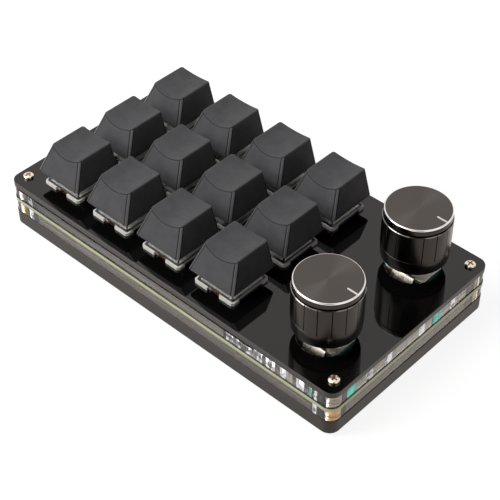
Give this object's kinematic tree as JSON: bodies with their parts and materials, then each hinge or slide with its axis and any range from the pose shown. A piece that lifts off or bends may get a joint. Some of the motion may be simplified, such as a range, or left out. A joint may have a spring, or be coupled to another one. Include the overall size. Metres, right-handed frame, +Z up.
{
  "type": "macro keypad",
  "caption": "Desktop macro keypad: a stack of black and clear plates with a grid of blank black keys and a pair of push-and-turn knobs.",
  "frame": {"origin": "middle of the footprint, on the desk", "axes": "+X along the long side towards the knobs, +Y away from the user, +Z up"},
  "size_m": [0.134, 0.0714, 0.0397],
  "materials": {
    "black_plate": "dark plate with a satin sawn edge",
    "clear_lower": "clear sheet with a frosted edge",
    "board": "black mask with a bare yellow-green edge",
    "clear_upper": "clear sheet with a polished edge",
    "black_gloss": "polished black sheet",
    "screw_steel": "nickel plated",
    "brass": "turned brass",
    "foot_rubber": "matt rubber",
    "socket_steel": "plated sheet steel",
    "chip_black": "moulded chip packages",
    "milky": "milky moulded nylon",
    "clear_housing": "clear moulding",
    "copper": "copper sheet",
    "cap_plastic": "finely textured black",
    "stem_plastic": "smooth moulded",
    "black_aluminium": "black anodised, spun top, bright cut bevel",
    "hub_plastic": "moulded",
    "shaft_aluminium": "turned",
    "plunger_plastic": "moulded",
    "nickel": "bright nickel-plated sheet",
    "teal": "moulded teal"
  },
  "bodies": {
    "case": {"bottom_plate": "black_plate", "lower_frame": "clear_lower", "circuit_board": "board", "upper_frame": "clear_upper", "top_plate": "black_gloss", "case_screws": "screw_steel", "case_standoffs": "brass", "rubber_feet": "foot_rubber", "cable_socket": "socket_steel", "board_chips": "chip_black", "switch_bases": "milky", "switch_tops": "clear_housing", "switch_contacts": "copper", "encoder_cover_front": "nickel", "encoder_base_front": "teal", "encoder_cover_back": "nickel", "encoder_base_back": "teal"},
    "key_1": {"keycap_1": "cap_plastic", "stem_1": "stem_plastic"},
    "key_2": {"keycap_2": "cap_plastic", "stem_2": "stem_plastic"},
    "key_3": {"keycap_3": "cap_plastic", "stem_3": "stem_plastic"},
    "key_4": {"keycap_4": "cap_plastic", "stem_4": "stem_plastic"},
    "key_5": {"keycap_5": "cap_plastic", "stem_5": "stem_plastic"},
    "key_6": {"keycap_6": "cap_plastic", "stem_6": "stem_plastic"},
    "key_7": {"keycap_7": "cap_plastic", "stem_7": "stem_plastic"},
    "key_8": {"keycap_8": "cap_plastic", "stem_8": "stem_plastic"},
    "key_9": {"keycap_9": "cap_plastic", "stem_9": "stem_plastic"},
    "key_10": {"keycap_10": "cap_plastic", "stem_10": "stem_plastic"},
    "key_11": {"keycap_11": "cap_plastic", "stem_11": "stem_plastic"},
    "key_12": {"keycap_12": "cap_plastic", "stem_12": "stem_plastic"},
    "press_front": {"plunger_front": "plunger_plastic"},
    "dial_front": {"knob_front": "black_aluminium", "hub_front": "hub_plastic", "shaft_front": "shaft_aluminium"},
    "press_back": {"plunger_back": "plunger_plastic"},
    "dial_back": {"knob_back": "black_aluminium", "hub_back": "hub_plastic", "shaft_back": "shaft_aluminium"}
  },
  "joints": [
    {"name": "key_1_press", "type": "slide", "parent": "case", "child": "key_1", "axis": [0, 0, -1], "range_m": [0, 0.004], "stiffness_N_per_m": 100, "springref_m": -0.003},
    {"name": "key_2_press", "type": "slide", "parent": "case", "child": "key_2", "axis": [0, 0, -1], "range_m": [0, 0.004], "stiffness_N_per_m": 100, "springref_m": -0.003},
    {"name": "key_3_press", "type": "slide", "parent": "case", "child": "key_3", "axis": [0, 0, -1], "range_m": [0, 0.004], "stiffness_N_per_m": 100, "springref_m": -0.003},
    {"name": "key_4_press", "type": "slide", "parent": "case", "child": "key_4", "axis": [0, 0, -1], "range_m": [0, 0.004], "stiffness_N_per_m": 100, "springref_m": -0.003},
    {"name": "key_5_press", "type": "slide", "parent": "case", "child": "key_5", "axis": [0, 0, -1], "range_m": [0, 0.004], "stiffness_N_per_m": 100, "springref_m": -0.003},
    {"name": "key_6_press", "type": "slide", "parent": "case", "child": "key_6", "axis": [0, 0, -1], "range_m": [0, 0.004], "stiffness_N_per_m": 100, "springref_m": -0.003},
    {"name": "key_7_press", "type": "slide", "parent": "case", "child": "key_7", "axis": [0, 0, -1], "range_m": [0, 0.004], "stiffness_N_per_m": 100, "springref_m": -0.003},
    {"name": "key_8_press", "type": "slide", "parent": "case", "child": "key_8", "axis": [0, 0, -1], "range_m": [0, 0.004], "stiffness_N_per_m": 100, "springref_m": -0.003},
    {"name": "key_9_press", "type": "slide", "parent": "case", "child": "key_9", "axis": [0, 0, -1], "range_m": [0, 0.004], "stiffness_N_per_m": 100, "springref_m": -0.003},
    {"name": "key_10_press", "type": "slide", "parent": "case", "child": "key_10", "axis": [0, 0, -1], "range_m": [0, 0.004], "stiffness_N_per_m": 100, "springref_m": -0.003},
    {"name": "key_11_press", "type": "slide", "parent": "case", "child": "key_11", "axis": [0, 0, -1], "range_m": [0, 0.004], "stiffness_N_per_m": 100, "springref_m": -0.003},
    {"name": "key_12_press", "type": "slide", "parent": "case", "child": "key_12", "axis": [0, 0, -1], "range_m": [0, 0.004], "stiffness_N_per_m": 100, "springref_m": -0.003},
    {"name": "knob_front_press", "type": "slide", "parent": "case", "child": "press_front", "axis": [0, 0, -1], "range_m": [0, 0.0005], "stiffness_N_per_m": 1500, "springref_m": -0.0015},
    {"name": "knob_front_turn", "type": "hinge", "parent": "press_front", "child": "dial_front", "pos_m": [0.0504, -0.01935, 0.03], "axis": [0, 0, 1], "continuous": true},
    {"name": "knob_back_press", "type": "slide", "parent": "case", "child": "press_back", "axis": [0, 0, -1], "range_m": [0, 0.0005], "stiffness_N_per_m": 1500, "springref_m": -0.0015},
    {"name": "knob_back_turn", "type": "hinge", "parent": "press_back", "child": "dial_back", "pos_m": [0.0504, 0.02005, 0.03], "axis": [0, 0, 1], "continuous": true}
  ]
}
